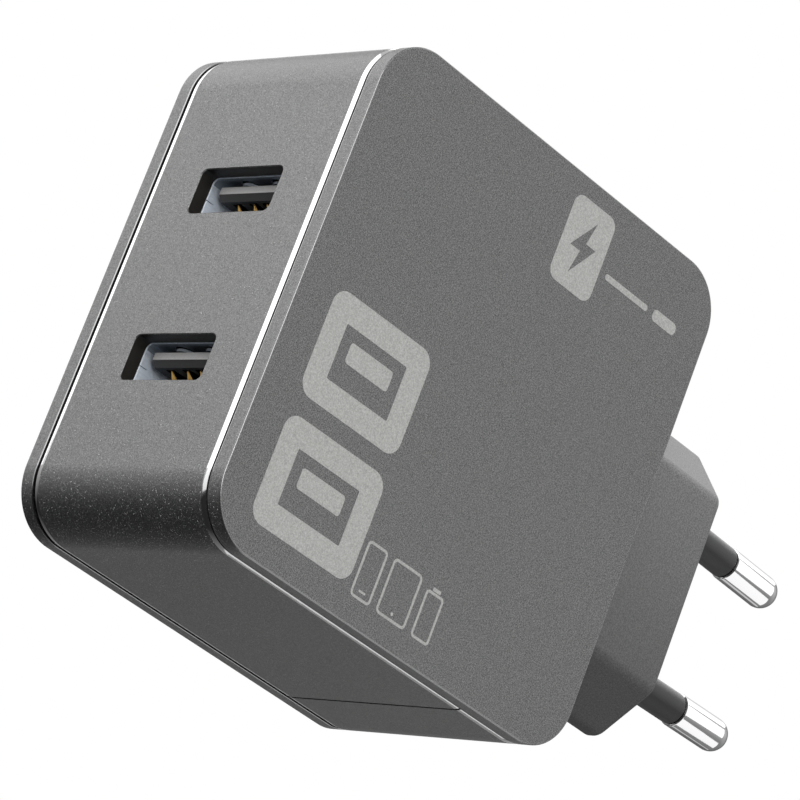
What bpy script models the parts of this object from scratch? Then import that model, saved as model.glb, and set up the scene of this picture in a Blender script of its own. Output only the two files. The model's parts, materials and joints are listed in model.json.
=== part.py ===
"""Two-port USB wall charger with a flat two-pin mains plug, built as separate named pieces.

All sizes below are millimetres; the meshes are scaled to metres as they are made.
The origin is the centre of the plug face. +Y runs into the wall socket, so the ports face -Y,
+Z is up, and the two pins stand one above the other.
"""

import math

import bmesh
import bpy
from mathutils import Matrix, Vector

MM = 0.001

# Housing
BODY_WIDTH = 31.0
BODY_HEIGHT = 57.5
BODY_DEPTH = 55.8
CORNER_RADIUS = 6.0
PLUG_LENGTH = 19.4
COVER_THICKNESS = 1.9
COVER_POCKET = 0.4
COVER_EDGE = 0.25
COVER_GAP = 0.35
BAND_DEPTH = 42.6
SEAM = 0.3
WALL = 1.8
CHAMFER_WIDTH = 0.6
CHAMFER_DEPTH = 0.12
LIP_CLEARANCE = 0.2
LIP_THICKNESS = 1.2
LIP_DEPTH = 2.0

HALF_HEIGHT = BODY_HEIGHT / 2
FRONT = -PLUG_LENGTH - BODY_DEPTH
REAR = -PLUG_LENGTH
MIDDLE = (FRONT + REAR) / 2
COVER_INNER = BODY_WIDTH / 2 - COVER_THICKNESS
BAND_SIDE = COVER_INNER - COVER_GAP
SEAM_Y = FRONT + BAND_DEPTH

# Plug
PLUG_THICKNESS = 13.7
PLUG_HEIGHT = 35.3
PLUG_FLAT_END = 1.05
PLUG_CORNER_RADIUS = 2.0
PLUG_EDGE = 0.6
PLUG_WALL = 1.8
PLUG_FACE_WALL = 2.2
PIN_SPACING = 19.0
PIN_TILT = math.radians(1.3)
PIN_RADIUS = 2.03
PIN_CORE_RADIUS = 1.35
PIN_TAIL = -9.5
PIN_LENGTH = 19.5
PIN_COLLAR = 0.4
PIN_COLLAR_LENGTH = 1.2
SHOULDER_GAP = 0.15
SHOULDER_CHAMFER = 0.15
SLEEVE_LENGTH = 10.45
SLEEVE_EDGE = 0.1
SLEEVE_CLEARANCE = 0.1
SLEEVE_RADIUS = 1.9
SLEEVE_BORE = 1.45
FLANGE_RADIUS = 3.2
FLANGE_THICKNESS = 1.0
PIN_HOLE_RADIUS = 2.0

# USB-A receptacles
PORT_OFFSET = 9.785
APERTURE = (12.56, 5.24)
APERTURE_RADIUS = 0.8
SHELL_INNER = (12.5, 5.12)
SHELL_SHEET = 0.3
SHELL_RADIUS = 0.7
SHELL_FRONT = FRONT + WALL + 0.05
SHELL_REAR = FRONT + 14.3
SHELL_LEG = (1.2, 1.0)
TAB_START = SHELL_FRONT + 0.9
TAB_OFFSET = 2.3
TAB_WIDTH = 2.0
TAB_LENGTH = 4.6
TAB_SLOT = 0.3
TONGUE_WIDTH = 11.1
TONGUE_LOW = 0.38
TONGUE_HIGH = 1.85
TONGUE_FRONT = FRONT + 2.5
TONGUE_NOSE = 0.62
TONGUE_EDGE = 0.2
BLOCK_FRONT = FRONT + 10.3
BLOCK_REAR = FRONT + 14.75
CONTACT_PLACES = (-3.5, -1.0, 1.0, 3.5)
CONTACT_WIDTH = 1.0
CONTACT_SHEET = 0.2
CONTACT_ROOT = (FRONT + 10.45, 0.475)
# The rest of a contact's line: distance behind the front face, height above the port's middle
CONTACT_LINE = ((8.4, 0.36), (6.0, -0.4), (5.4, -0.52), (4.9, -0.4), (3.95, 0.5))
GROOVE_FRONT = TONGUE_FRONT + 1.1
PASSAGE = (0.6, 0.25)
GROOVE_WIDTH = 1.3
GROOVE_TOP = 1.3
TERMINAL_GAP = 0.15
TERMINAL_NECK = (0.4, 0.2)
TERMINAL_REAR = FRONT + 16.8

# Boards
BOARD = 1.2
USB_BOARD_FRONT = FRONT + 14.9
USB_BOARD_HALF = (11.0, 24.5)
MAIN_BOARD_X = -11.2
MAIN_BOARD_Y = (FRONT + 16.6, REAR - 3.4)
MAIN_BOARD_HALF_Z = 24.8
BOARD_TOP = MAIN_BOARD_X + BOARD
SEAT = BOARD_TOP + 0.2
LEAD = 0.6
LEAD_HOLE = 1.0
LEAD_REACH = 1.0
LEAD_END = MAIN_BOARD_X - 0.5

CORNER_STEPS = 6
ROUND_STEPS = 24
FINE = 0.05
CUT_MARGIN = 0.2
SMOOTH_LIMIT = math.radians(35)


def clear_scene():
    for obj in list(bpy.data.objects):
        bpy.data.objects.remove(obj, do_unlink=True)


def material(name, colour, roughness, metallic):
    look = bpy.data.materials.new(name)
    look.use_nodes = True
    shader = look.node_tree.nodes["Principled BSDF"]
    shader.inputs["Base Color"].default_value = (*colour, 1.0)
    shader.inputs["Roughness"].default_value = roughness
    shader.inputs["Metallic"].default_value = metallic
    return look


PAINT = ((0.23, 0.23, 0.24), 0.45, 0.6)
COVER_PAINT = ((0.16, 0.16, 0.165), 0.6, 0.3)
PLUG_PLASTIC = ((0.15, 0.15, 0.155), 0.6, 0.0)
BLACK_PLASTIC = ((0.02, 0.02, 0.02), 0.5, 0.0)
STEEL = ((0.55, 0.57, 0.6), 0.3, 1.0)
NICKEL = ((0.8, 0.8, 0.8), 0.15, 1.0)
GOLD = ((0.83, 0.6, 0.2), 0.25, 1.0)
TONGUE_PLASTIC = ((0.3, 0.3, 0.29), 0.5, 0.0)
BOARD_GREEN = ((0.03, 0.16, 0.06), 0.5, 0.0)
FERRITE = ((0.05, 0.05, 0.055), 0.7, 0.0)
COPPER = ((0.72, 0.35, 0.17), 0.35, 1.0)
TAPE = ((0.75, 0.6, 0.12), 0.5, 0.0)
CAN_SLEEVE = ((0.03, 0.04, 0.09), 0.4, 0.0)
YELLOW_CASE = ((0.75, 0.55, 0.08), 0.5, 0.0)
BLUE_COAT = ((0.05, 0.16, 0.45), 0.4, 0.0)
ALUMINIUM = ((0.7, 0.71, 0.72), 0.35, 1.0)
RED_SLEEVE = ((0.5, 0.03, 0.02), 0.5, 0.0)
BLUE_SLEEVE = ((0.03, 0.1, 0.45), 0.5, 0.0)
CLEAR_FILM = ((0.75, 0.74, 0.68), 0.3, 0.0)


# ---------------------------------------------------------------- shapes


def arc(centre, radius, start, end, steps=CORNER_STEPS):
    """Points on an arc from the angle start to the angle end, in degrees."""
    points = []
    for i in range(steps + 1):
        angle = math.radians(start + (end - start) * i / steps)
        points.append((centre[0] + radius * math.cos(angle), centre[1] + radius * math.sin(angle)))
    return points


def rounded_rectangle(half_a, half_b, radius, centre=(0.0, 0.0), steps=CORNER_STEPS):
    points = []
    for quarter, (a, b) in enumerate(((1, 1), (-1, 1), (-1, -1), (1, -1))):
        middle = (centre[0] + a * (half_a - radius), centre[1] + b * (half_b - radius))
        points += arc(middle, radius, 90 * quarter, 90 * quarter + 90, steps)
    return points


def circle(radius, centre=(0.0, 0.0), steps=ROUND_STEPS):
    return arc(centre, radius, 0, 360 - 360 / steps, steps - 1)


def plug_outline(inset):
    """Flattened hexagon with rounded corners, in X and Z."""
    half_x = PLUG_THICKNESS / 2 - inset
    half_z = PLUG_HEIGHT / 2 - inset
    radius = PLUG_CORNER_RADIUS - min(inset, PLUG_CORNER_RADIUS / 2)
    # The slants run at 45 degrees, so an inset moves their ends along the flats by this much.
    shift = inset * math.tan(math.radians(22.5))
    end = PLUG_FLAT_END - shift
    flat = PLUG_HEIGHT / 2 - (PLUG_THICKNESS / 2 - PLUG_FLAT_END) - shift
    corners = [(half_x, flat), (end, half_z), (-end, half_z), (-half_x, flat)]
    corners += [(-x, -z) for x, z in corners]
    return rounded_polygon(corners, radius)


def rounded_polygon(corners, radius, steps=3):
    """Each corner becomes an arc that touches both of its sides; short sides get a smaller arc."""
    points = []
    for i, corner in enumerate(corners):
        here = Vector(corner)
        back = Vector(corners[i - 1]) - here
        ahead = Vector(corners[(i + 1) % len(corners)]) - here
        half_angle = back.angle(ahead) / 2
        reach = min(radius / math.tan(half_angle), 0.48 * min(back.length, ahead.length))
        fitted = reach * math.tan(half_angle)
        inward = (back.normalized() + ahead.normalized()).normalized()
        middle = here + inward * (fitted / math.sin(half_angle))
        start = here + back.normalized() * reach - middle
        end = here + ahead.normalized() * reach - middle
        turn = start.angle_signed(end)
        for k in range(steps + 1):
            points.append(tuple(middle + Matrix.Rotation(-turn * k / steps, 2) @ start))
    return points


def along(axis, outline, level):
    """The outline's points in space, at this level along the axis."""
    if axis == "X":
        return [(level, a, b) for a, b in outline]
    if axis == "Y":
        return [(a, level, b) for a, b in outline]
    return [(a, b, level) for a, b in outline]


def add_loft(bm, rings, closed=False):
    """Joins rings of equally many points with faces. An open loft gets a cap at each end."""
    rows = [[bm.verts.new([value * MM for value in point]) for point in ring] for ring in rings]
    pairs = list(zip(rows, rows[1:]))
    if closed:
        pairs.append((rows[-1], rows[0]))
    for row, following in pairs:
        for i in range(len(row)):
            j = (i + 1) % len(row)
            bm.faces.new((row[i], row[j], following[j], following[i]))
    if not closed:
        bm.faces.new(rows[0])
        bm.faces.new(rows[-1])


def add_box(bm, low, high):
    size = [(b - a) * MM for a, b in zip(low, high)]
    middle = [(a + b) / 2 * MM for a, b in zip(low, high)]
    bmesh.ops.create_cube(bm, matrix=Matrix.LocRotScale(middle, None, size))


def add_prism(bm, axis, outline, low, high):
    add_loft(bm, [along(axis, outline, low), along(axis, outline, high)])


def add_turned(bm, profile, closed=False, steps=ROUND_STEPS):
    """A profile of (y, radius) points turned about the Y axis."""
    add_loft(bm, [along("Y", circle(radius, steps=steps), y) for y, radius in profile], closed)


def piece(name, bm, look, origin=(0.0, 0.0, 0.0), smooth=False):
    """Makes the mesh an object whose origin is the given point, in millimetres."""
    bmesh.ops.recalc_face_normals(bm, faces=bm.faces)
    bmesh.ops.translate(bm, verts=bm.verts, vec=-Vector(origin) * MM)
    mesh = bpy.data.meshes.new(name)
    bm.to_mesh(mesh)
    bm.free()
    if smooth:
        mesh.shade_smooth()
        mesh.set_sharp_from_angle(angle=SMOOTH_LIMIT)
    obj = bpy.data.objects.new(name, mesh)
    obj.location = Vector(origin) * MM
    if look:
        mesh.materials.append(material(name, *look))
    bpy.context.scene.collection.objects.link(obj)
    return obj


def tool(obj, name, bm, operation):
    """Cuts the tool's shape from the object, or joins it on, with a Boolean."""
    helper = piece(f"{obj.name}_{name}", bm, None)
    helper.hide_render = True
    helper.display_type = "WIRE"
    modifier = obj.modifiers.new(name, "BOOLEAN")
    modifier.operation = operation
    modifier.solver = "EXACT"
    modifier.object = helper
    return helper


def cut(obj, name, bm):
    return tool(obj, name, bm, "DIFFERENCE")


def join(obj, name, bm):
    return tool(obj, name, bm, "UNION")


# ---------------------------------------------------------------- housing


def body_outline(inset):
    return rounded_rectangle(
        BODY_DEPTH / 2 - inset, HALF_HEIGHT - inset, CORNER_RADIUS - inset, centre=(MIDDLE, 0.0)
    )


def side_cover(name, side):
    """A shallow lid with a lip that locates inside the housing walls."""
    face = BODY_WIDTH / 2
    lip_outer = WALL + LIP_CLEARANCE
    lip_inner = lip_outer + LIP_THICKNESS
    lip_end = COVER_INNER - LIP_DEPTH
    steps = (
        (face, COVER_EDGE),
        (face - COVER_EDGE, 0.0),
        (COVER_INNER, 0.0),
        (COVER_INNER, lip_outer),
        (lip_end, lip_outer),
        (lip_end, lip_inner),
        (COVER_INNER + COVER_POCKET, lip_inner),
    )
    bm = bmesh.new()
    add_loft(bm, [along("X", body_outline(inset), side * x) for x, inset in steps])
    return piece(name, bm, COVER_PAINT, smooth=True)


def channel_path(open_y, closed_y, inset, radius):
    """One line of a U: along the top, round the closed end and back along the bottom, in Y and Z."""
    toward = 1 if closed_y > open_y else -1
    high = HALF_HEIGHT - inset
    end = closed_y - toward * inset
    bend_y = end - toward * radius
    upper = arc((bend_y, high - radius), radius, 90, 90 - 90 * toward)
    lower = [(y, -z) for y, z in reversed(upper)]
    return [(open_y, high), *upper, *lower, (open_y, -high)]


def channel(open_y, closed_y):
    """A U of wall running across the body, with a shallow chamfer along its two outer rims."""
    inner = channel_path(open_y, closed_y, WALL, CORNER_RADIUS - WALL)
    rings = []
    flat = BAND_SIDE - CHAMFER_WIDTH
    for x, inset in ((-BAND_SIDE, CHAMFER_DEPTH), (-flat, 0.0), (flat, 0.0), (BAND_SIDE, CHAMFER_DEPTH)):
        outer = channel_path(open_y, closed_y, inset, CORNER_RADIUS - inset)
        rings.append(along("X", outer + inner[::-1], x))
    bm = bmesh.new()
    add_loft(bm, rings)
    return bm


def front_band():
    band = piece("front_band", channel(SEAM_Y - SEAM / 2, FRONT), PAINT, smooth=True)
    holes = bmesh.new()
    for z in (-PORT_OFFSET, PORT_OFFSET):
        outline = rounded_rectangle(APERTURE[0] / 2, APERTURE[1] / 2, APERTURE_RADIUS, (0.0, z), 3)
        add_prism(holes, "Y", outline, FRONT - 1, FRONT + WALL + 1)
    cut(band, "port_holes", holes)
    return band


def pin_matrix(side):
    """Stands a piece turned about Y in its place on the plug; side is 1 above and -1 below."""
    turn = Matrix.Rotation(-side * PIN_TILT, 4, "X")
    return Matrix.Translation((0.0, 0.0, side * PIN_SPACING / 2 * MM)) @ turn


def rear_housing():
    housing = piece("rear_housing", channel(SEAM_Y + SEAM / 2, REAR), PLUG_PLASTIC, smooth=True)
    boss = bmesh.new()
    rings = [
        along("Y", plug_outline(0.0), REAR - WALL / 2),
        along("Y", plug_outline(0.0), -PLUG_EDGE),
        along("Y", plug_outline(PLUG_EDGE * 0.3), -PLUG_EDGE * 0.3),
        along("Y", plug_outline(PLUG_EDGE), 0.0),
    ]
    add_loft(boss, rings)
    join(housing, "boss", boss)
    hollow = bmesh.new()
    add_prism(hollow, "Y", plug_outline(PLUG_WALL), REAR - WALL - 1, -PLUG_FACE_WALL)
    cut(housing, "hollow", hollow)
    holes = bmesh.new()
    for side in (1, -1):
        hole = bmesh.new()
        add_turned(hole, ((-PLUG_FACE_WALL - 1, PIN_HOLE_RADIUS), (1, PIN_HOLE_RADIUS)))
        hole.transform(pin_matrix(side))
        mesh = bpy.data.meshes.new("pin_hole")
        hole.to_mesh(mesh)
        hole.free()
        holes.from_mesh(mesh)
        bpy.data.meshes.remove(mesh)
    cut(housing, "pin_holes", holes)
    lips = bmesh.new()
    for side in (1, -1):
        high = side * (HALF_HEIGHT - WALL - LIP_CLEARANCE)
        low = high - side * LIP_THICKNESS
        root = side * (HALF_HEIGHT - WALL / 2)
        start = SEAM_Y - LIP_DEPTH
        rise = SEAM_Y + SEAM
        end = rise + LIP_DEPTH
        profile = [(start, low), (end, low), (end, root), (rise, root), (rise, high), (start, high)]
        half = COVER_INNER - LIP_DEPTH - 2 * LIP_CLEARANCE
        add_prism(lips, "X", profile, -half, half)
    join(housing, "lips", lips)
    return housing


# ---------------------------------------------------------------- mains pins


def mains_pin(name, side):
    """Solid pin: a narrow core inside its sleeve, a full-size rounded tip, and a crimp tail."""
    tip = [(PIN_LENGTH - PIN_RADIUS + y, r) for y, r in arc((0.0, 0.0), PIN_RADIUS, 90, 10, 6)]
    collar_front = -PLUG_FACE_WALL - FLANGE_THICKNESS - PIN_COLLAR
    collar_back = collar_front - PIN_COLLAR_LENGTH
    shoulder = SLEEVE_LENGTH + SHOULDER_GAP
    profile = [
        (PIN_TAIL, PIN_CORE_RADIUS),
        (collar_back, PIN_CORE_RADIUS),
        (collar_back, PIN_RADIUS + PIN_COLLAR),
        (collar_front, PIN_RADIUS + PIN_COLLAR),
        (collar_front, PIN_CORE_RADIUS),
        (shoulder, PIN_CORE_RADIUS),
        (shoulder, PIN_RADIUS - SHOULDER_CHAMFER),
        (shoulder + SHOULDER_CHAMFER, PIN_RADIUS),
    ]
    bm = bmesh.new()
    add_turned(bm, profile + tip)
    bm.transform(pin_matrix(side))
    return piece(name, bm, NICKEL, smooth=True)


def pin_sleeve(name, side):
    """Insulating tube round the pin, with a flange behind the plug face."""
    back = -PLUG_FACE_WALL - SLEEVE_CLEARANCE
    profile = [
        (back - FLANGE_THICKNESS, FLANGE_RADIUS),
        (back, FLANGE_RADIUS),
        (back, SLEEVE_RADIUS),
        (SLEEVE_LENGTH - SLEEVE_EDGE, SLEEVE_RADIUS),
        (SLEEVE_LENGTH, SLEEVE_RADIUS - SLEEVE_EDGE),
        (SLEEVE_LENGTH, SLEEVE_BORE),
        (back - FLANGE_THICKNESS, SLEEVE_BORE),
    ]
    bm = bmesh.new()
    add_turned(bm, profile, closed=True)
    bm.transform(pin_matrix(side))
    return piece(name, bm, BLACK_PLASTIC, smooth=True)


# ---------------------------------------------------------------- USB receptacles


def usb_shell(name, port_z):
    """Folded steel tube with two spring tabs in its top and two in its bottom, and two legs."""
    half_x, half_z = SHELL_INNER[0] / 2, SHELL_INNER[1] / 2
    inner = rounded_rectangle(half_x, half_z, SHELL_RADIUS, (0.0, port_z), 3)
    outer = rounded_rectangle(
        half_x + SHELL_SHEET, half_z + SHELL_SHEET, SHELL_RADIUS + SHELL_SHEET, (0.0, port_z), 3
    )
    bm = bmesh.new()
    rings = [
        along("Y", outer, SHELL_FRONT),
        along("Y", outer, SHELL_REAR),
        along("Y", inner, SHELL_REAR),
        along("Y", inner, SHELL_FRONT),
    ]
    add_loft(bm, rings, closed=True)
    shell = piece(name, bm, STEEL, smooth=True)
    slots = bmesh.new()
    outside, inside = TAB_WIDTH / 2 + TAB_SLOT, TAB_WIDTH / 2
    end = TAB_START + TAB_LENGTH
    for x in (-TAB_OFFSET, TAB_OFFSET):
        outline = [
            (x - outside, end),
            (x - outside, TAB_START),
            (x + outside, TAB_START),
            (x + outside, end),
            (x + inside, end),
            (x + inside, TAB_START + TAB_SLOT),
            (x - inside, TAB_START + TAB_SLOT),
            (x - inside, end),
        ]
        for side in (1, -1):
            low = port_z + side * (half_z - CUT_MARGIN)
            add_prism(slots, "Z", outline, low, low + side * (SHELL_SHEET + 2 * CUT_MARGIN))
    cut(shell, "tab_slots", slots)
    legs = bmesh.new()
    leg_half, leg_root = SHELL_LEG
    for side in (1, -1):
        low, high = sorted((side * half_x, side * (half_x + SHELL_SHEET)))
        front = SHELL_REAR - leg_root
        add_box(legs, (low, front, port_z - leg_half), (high, TERMINAL_REAR, port_z + leg_half))
    join(shell, "legs", legs)
    return shell


def usb_tongue(name, port_z):
    """Insulator block with the tongue, its contact grooves and the terminal passages."""
    nose = [
        (TONGUE_FRONT, TONGUE_LOW + TONGUE_NOSE),
        (TONGUE_FRONT, TONGUE_HIGH - TONGUE_EDGE),
        (TONGUE_FRONT + TONGUE_EDGE, TONGUE_HIGH),
        (BLOCK_FRONT + 1, TONGUE_HIGH),
        (BLOCK_FRONT + 1, TONGUE_LOW),
        (TONGUE_FRONT + TONGUE_NOSE, TONGUE_LOW),
    ]
    bm = bmesh.new()
    add_prism(bm, "X", [(y, port_z + z) for y, z in nose], -TONGUE_WIDTH / 2, TONGUE_WIDTH / 2)
    tongue = piece(name, bm, TONGUE_PLASTIC)
    block = bmesh.new()
    half_x, half_z = SHELL_INNER[0] / 2 - FINE, SHELL_INNER[1] / 2 - FINE
    outline = rounded_rectangle(half_x, half_z, SHELL_RADIUS, (0.0, port_z), 3)
    add_prism(block, "Y", outline, BLOCK_FRONT, BLOCK_REAR)
    join(tongue, "block", block)
    grooves = bmesh.new()
    half = GROOVE_WIDTH / 2
    for x in CONTACT_PLACES:
        add_box(
            grooves,
            (x - half, GROOVE_FRONT, port_z + TONGUE_LOW - 1),
            (x + half, BLOCK_FRONT, port_z + GROOVE_TOP),
        )
    cut(tongue, "grooves", grooves)
    passages = bmesh.new()
    middle = port_z + CONTACT_ROOT[1]
    half_x, half_z = PASSAGE
    for x in CONTACT_PLACES:
        add_box(
            passages,
            (x - half_x, BLOCK_FRONT - 1, middle - half_z),
            (x + half_x, BLOCK_REAR + 1, middle + half_z),
        )
    cut(tongue, "passages", passages)
    return tongue


def ribbon(points, thickness):
    """The outline of a strip of even thickness along a line of points."""
    lines = [Vector(point) for point in points]
    left, right = [], []
    for i, here in enumerate(lines):
        before = here - lines[i - 1] if i else lines[1] - here
        after = lines[i + 1] - here if i + 1 < len(lines) else before
        ahead = (before.normalized() + after.normalized()).normalized()
        across = Vector((-ahead.y, ahead.x)) * thickness / 2 / math.cos(before.angle(after) / 2)
        left.append(tuple(here + across))
        right.append(tuple(here - across))
    return left + right[::-1]


def usb_contact(name, port_z, x):
    """Spring beam: from its root it leans down to the contact bend, then turns up into the tongue."""
    root_y, root_z = CONTACT_ROOT
    line = [(root_y, root_z), *((FRONT + back, height) for back, height in CONTACT_LINE)]
    outline = [(y, port_z + z) for y, z in ribbon(line, CONTACT_SHEET)]
    bm = bmesh.new()
    add_prism(bm, "X", outline, x - CONTACT_WIDTH / 2, x + CONTACT_WIDTH / 2)
    return piece(name, bm, GOLD, origin=(0.0, root_y, port_z + root_z))


def usb_terminal(name, port_z, x):
    """Fixed strip from the spring's root through the block to the board, narrower at its tail."""
    start = CONTACT_ROOT[0] + TERMINAL_GAP
    wide, narrow = CONTACT_WIDTH / 2, LEAD / 2
    neck = BLOCK_REAR - TERMINAL_NECK[0]
    narrowed = neck + TERMINAL_NECK[1]
    outline = [
        (x - wide, start),
        (x + wide, start),
        (x + wide, neck),
        (x + narrow, narrowed),
        (x + narrow, TERMINAL_REAR),
        (x - narrow, TERMINAL_REAR),
        (x - narrow, narrowed),
        (x - wide, neck),
    ]
    middle = port_z + CONTACT_ROOT[1]
    bm = bmesh.new()
    add_prism(bm, "Z", outline, middle - CONTACT_SHEET / 2, middle + CONTACT_SHEET / 2)
    return piece(name, bm, GOLD)


# ---------------------------------------------------------------- boards and what they carry


def with_leads(obj, places):
    """Adds square leads that run from inside the component through the main board."""
    leads = bmesh.new()
    for y, z, top in places:
        half = LEAD / 2
        add_box(leads, (LEAD_END, y - half, z - half), (top, y + half, z + half))
    join(obj, "leads", leads)
    return [(y, z) for y, z, top in places]


def boxed(name, look, low, high, lead_places, bevel):
    """Block-shaped component standing on the main board, with rounded edges."""
    bm = bmesh.new()
    add_box(bm, low, high)
    bmesh.ops.bevel(bm, geom=bm.edges[:], offset=bevel * MM, segments=1, affect="EDGES")
    obj = piece(name, bm, look)
    return with_leads(obj, [(y, z, low[0] + LEAD_REACH) for y, z in lead_places])


CAN_EDGE = 0.4
CAN_GROOVE = 2.1
CAN_LEADS = 3.5


def capacitor_can(name, look, centre, radius, height):
    """Upright can with a rolled groove near its foot."""
    y, z = centre
    waist = radius - CAN_EDGE
    steps = (
        (0.0, waist),
        (CAN_EDGE, radius),
        (CAN_GROOVE - 0.5, radius),
        (CAN_GROOVE, waist),
        (CAN_GROOVE + 0.5, radius),
        (height - CAN_EDGE, radius),
        (height, waist),
    )
    bm = bmesh.new()
    add_loft(bm, [along("X", circle(r, centre, steps=16), SEAT + x) for x, r in steps])
    obj = piece(name, bm, look, smooth=True)
    return with_leads(obj, [(y, z + side * CAN_LEADS / 2, SEAT + LEAD_REACH) for side in (-1, 1)])


TRANSFORMER_Y = FRONT + 27.7
CORE_HALF = 8.0
CORE_THICKNESS = 5.0
CORE_PLATE = 2.2
CORE_LEG = 2.3
CORE_CENTRE = 2.4


def transformer_core(name, side):
    """One E of the core: a back plate, two outer legs and the centre leg."""
    outer, plate = CORE_HALF, CORE_HALF - CORE_PLATE
    window = CORE_HALF - CORE_LEG
    gap = 0.05
    outline = [
        (-outer, gap),
        (-outer, outer),
        (outer, outer),
        (outer, gap),
        (window, gap),
        (window, plate),
        (CORE_CENTRE, plate),
        (CORE_CENTRE, gap),
        (-CORE_CENTRE, gap),
        (-CORE_CENTRE, plate),
        (-window, plate),
        (-window, gap),
    ]
    bm = bmesh.new()
    half = CORE_THICKNESS / 2
    add_prism(bm, "Z", [(x, TRANSFORMER_Y + side * y) for x, y in outline], -half, half)
    return piece(name, bm, FERRITE)


def transformer_bobbin():
    """Square spool round the centre leg, with feet that carry its pins."""
    inner = (CORE_CENTRE + 0.15, CORE_THICKNESS / 2 + 0.15)
    wall = 0.7
    tube = (inner[0] + wall, inner[1] + wall)
    flange = (CORE_HALF - CORE_LEG - 0.15, 7.0)
    end = CORE_HALF - CORE_PLATE - 0.2
    thickness = 0.8
    bm = bmesh.new()
    add_box(bm, (-tube[0], TRANSFORMER_Y - end, -tube[1]), (tube[0], TRANSFORMER_Y + end, tube[1]))
    bobbin = piece("transformer_bobbin", bm, BLACK_PLASTIC)
    ends = bmesh.new()
    feet = bmesh.new()
    for side in (1, -1):
        inside, outside = TRANSFORMER_Y + side * (end - thickness), TRANSFORMER_Y + side * end
        near, far = sorted((inside, outside))
        add_box(ends, (-flange[0], near, -flange[1]), (flange[0], far, flange[1]))
        near, far = sorted((inside, outside + side * 0.6))
        for z in (-1, 1):
            low, high = sorted((z * (inner[1] + 0.5), z * flange[1]))
            add_box(feet, (SEAT, near, low), (-flange[0] + 1, far, high))
    join(bobbin, "ends", ends)
    join(bobbin, "feet", feet)
    bore = bmesh.new()
    reach = end + 2
    add_box(bore, (-inner[0], TRANSFORMER_Y - reach, -inner[1]), (inner[0], TRANSFORMER_Y + reach, inner[1]))
    cut(bobbin, "bore", bore)
    middle = end - thickness / 2
    places = [(TRANSFORMER_Y + y, z, SEAT + 1.0) for y in (-middle, middle) for z in (-6, -3.8, 3.8, 6)]
    return with_leads(bobbin, places)


def transformer_winding():
    """The wound wire, as a rounded square ring on the bobbin."""
    inner = (CORE_CENTRE + 1.0, CORE_THICKNESS / 2 + 1.0)
    build = 1.7
    end = CORE_HALF - CORE_PLATE - 1.2
    rings = []
    for y, outset in ((-end, 0.0), (-end, build), (end, build), (end, 0.0)):
        radius = 0.3 + outset * 0.9
        outline = rounded_rectangle(inner[0] + outset, inner[1] + outset, radius, steps=3)
        rings.append(along("Y", outline, TRANSFORMER_Y + y))
    bm = bmesh.new()
    add_loft(bm, rings, closed=True)
    return piece("transformer_winding", bm, TAPE, smooth=True)


CHOKE_CENTRE = (FRONT + 46.4, 5.5)


def choke():
    """Filter choke: a drum core standing on the board, with its winding in the waist."""
    waist, rim = 1.5, 3.3
    steps = ((0.0, rim), (1.2, rim), (1.2, waist), (8.0, waist), (8.0, rim), (9.2, rim))
    bm = bmesh.new()
    add_loft(bm, [along("X", circle(r, CHOKE_CENTRE, steps=16), SEAT + x) for x, r in steps])
    core = piece("choke_core", bm, FERRITE, smooth=True)
    y, z = CHOKE_CENTRE
    leads = with_leads(core, [(y - 2.3, z, SEAT + 0.8), (y + 2.3, z, SEAT + 0.8)])
    bm = bmesh.new()
    low, high = SEAT + 1.3, SEAT + 7.9
    steps = ((low, waist + 0.1), (low, rim - 0.2), (high, rim - 0.2), (high, waist + 0.1))
    add_loft(bm, [along("X", circle(r, CHOKE_CENTRE, steps=16), x) for x, r in steps], closed=True)
    piece("choke_winding", bm, COPPER, smooth=True)
    return leads


def y_capacitor():
    """Coated disc standing on edge beside the transformer."""
    y, z, radius, half = FRONT + 26.7, 9.6, 3.6, 1.4
    middle = SEAT + radius + 0.6
    bm = bmesh.new()
    flat = half - 0.6
    steps = ((z - half, radius - 0.8), (z - flat, radius), (z + flat, radius), (z + half, radius - 0.8))
    add_loft(bm, [along("Z", circle(r, (middle, y), steps=16), level) for level, r in steps])
    disc = piece("y_capacitor", bm, BLUE_COAT, smooth=True)
    return with_leads(disc, [(y - 2.5, z, middle), (y + 2.5, z, middle)])


def switching_transistor():
    """Upright package with a drilled metal tab and three legs."""
    low, high = (SEAT + 3.5, FRONT + 31.0, -20.0), (SEAT + 12.5, FRONT + 35.4, -10.0)
    bm = bmesh.new()
    add_box(bm, low, high)
    body = piece("switching_transistor", bm, BLACK_PLASTIC)
    tab = bmesh.new()
    add_box(tab, (high[0] - 1, high[1] - 1.3, low[2]), (high[0] + 5, high[1], high[2]))
    join(body, "tab", tab)
    hole = bmesh.new()
    outline = circle(1.8, (high[0] + 2.6, (low[2] + high[2]) / 2), steps=16)
    add_loft(hole, [[(x, y, z) for x, z in outline] for y in (high[1] - 2.5, high[1] + 1)])
    cut(body, "tab_hole", hole)
    middle = (low[2] + high[2]) / 2
    y = high[1] - 2.0
    return with_leads(body, [(y, middle + step, low[0] + 1) for step in (-2.54, 0.0, 2.54)])


def heat_sink():
    """Aluminium plate behind the transistor, folded at its top."""
    y = FRONT + 35.7
    top = SEAT + 20.5
    outline = [(SEAT, y), (SEAT, y + 1.2), (top - 1.2, y + 1.2), (top - 1.2, y + 6), (top, y + 6), (top, y)]
    bm = bmesh.new()
    add_prism(bm, "Z", outline, -21.0, -9.0)
    return piece("heat_sink", bm, ALUMINIUM)


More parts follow.
